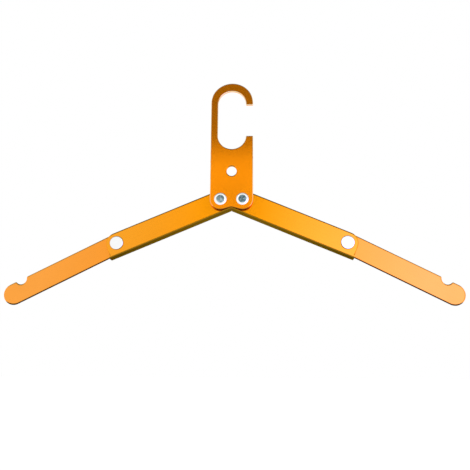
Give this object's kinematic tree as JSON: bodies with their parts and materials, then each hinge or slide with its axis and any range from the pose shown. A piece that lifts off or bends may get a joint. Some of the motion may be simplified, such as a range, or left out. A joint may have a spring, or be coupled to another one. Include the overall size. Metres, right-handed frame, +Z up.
{
  "type": "folding travel hanger",
  "caption": "Folding clothes hanger of anodised sheet aluminium: a flat hook plate for a wardrobe rail, and jointed arms that open to hold a garment's shoulders and fold up beside the plate.",
  "frame": {"origin": "centre of the hook's inner arch, halfway through the hook plate, where the wardrobe rail lies", "axes": "+Z up, +X to the right along the open span and towards the hook's mouth, +Y from the front of the hook plate to its back, through its thickness"},
  "size_m": [0.4056, 0.01, 0.2074],
  "materials": {
    "hook_plate": "satin orange anodising",
    "inner_arm": "satin golden orange anodising",
    "outer_arm": "satin peach orange anodising",
    "rivet": "polished",
    "washer": "plain, as rolled"
  },
  "bodies": {
    "hook": {"hook_plate": "hook_plate", "left_shoulder_rivet": "rivet", "right_shoulder_rivet": "rivet", "left_shoulder_washer": "washer", "right_shoulder_washer": "washer"},
    "left_inner_arm": {"left_inner_arm": "inner_arm", "left_elbow_rivet": "rivet", "left_elbow_washer": "washer"},
    "right_inner_arm": {"right_inner_arm": "inner_arm", "right_elbow_rivet": "rivet", "right_elbow_washer": "washer"},
    "left_outer_arm": {"left_outer_arm": "outer_arm"},
    "right_outer_arm": {"right_outer_arm": "outer_arm"}
  },
  "joints": [
    {"name": "left_shoulder", "type": "hinge", "parent": "hook", "child": "left_inner_arm", "pos_m": [-0.0099, 0, -0.0917], "axis": [0, 1, 0], "range_deg": [0, 112.9]},
    {"name": "left_elbow", "type": "hinge", "parent": "left_inner_arm", "child": "left_outer_arm", "pos_m": [-0.10294, 0, -0.131], "axis": [0, 1, 0], "range_deg": [0, 184]},
    {"name": "right_shoulder", "type": "hinge", "parent": "hook", "child": "right_inner_arm", "pos_m": [0.0099, 0, -0.0917], "axis": [0, -1, 0], "range_deg": [0, 112.9]},
    {"name": "right_elbow", "type": "hinge", "parent": "right_inner_arm", "child": "right_outer_arm", "pos_m": [0.10294, 0, -0.131], "axis": [0, -1, 0], "range_deg": [0, 184]}
  ]
}
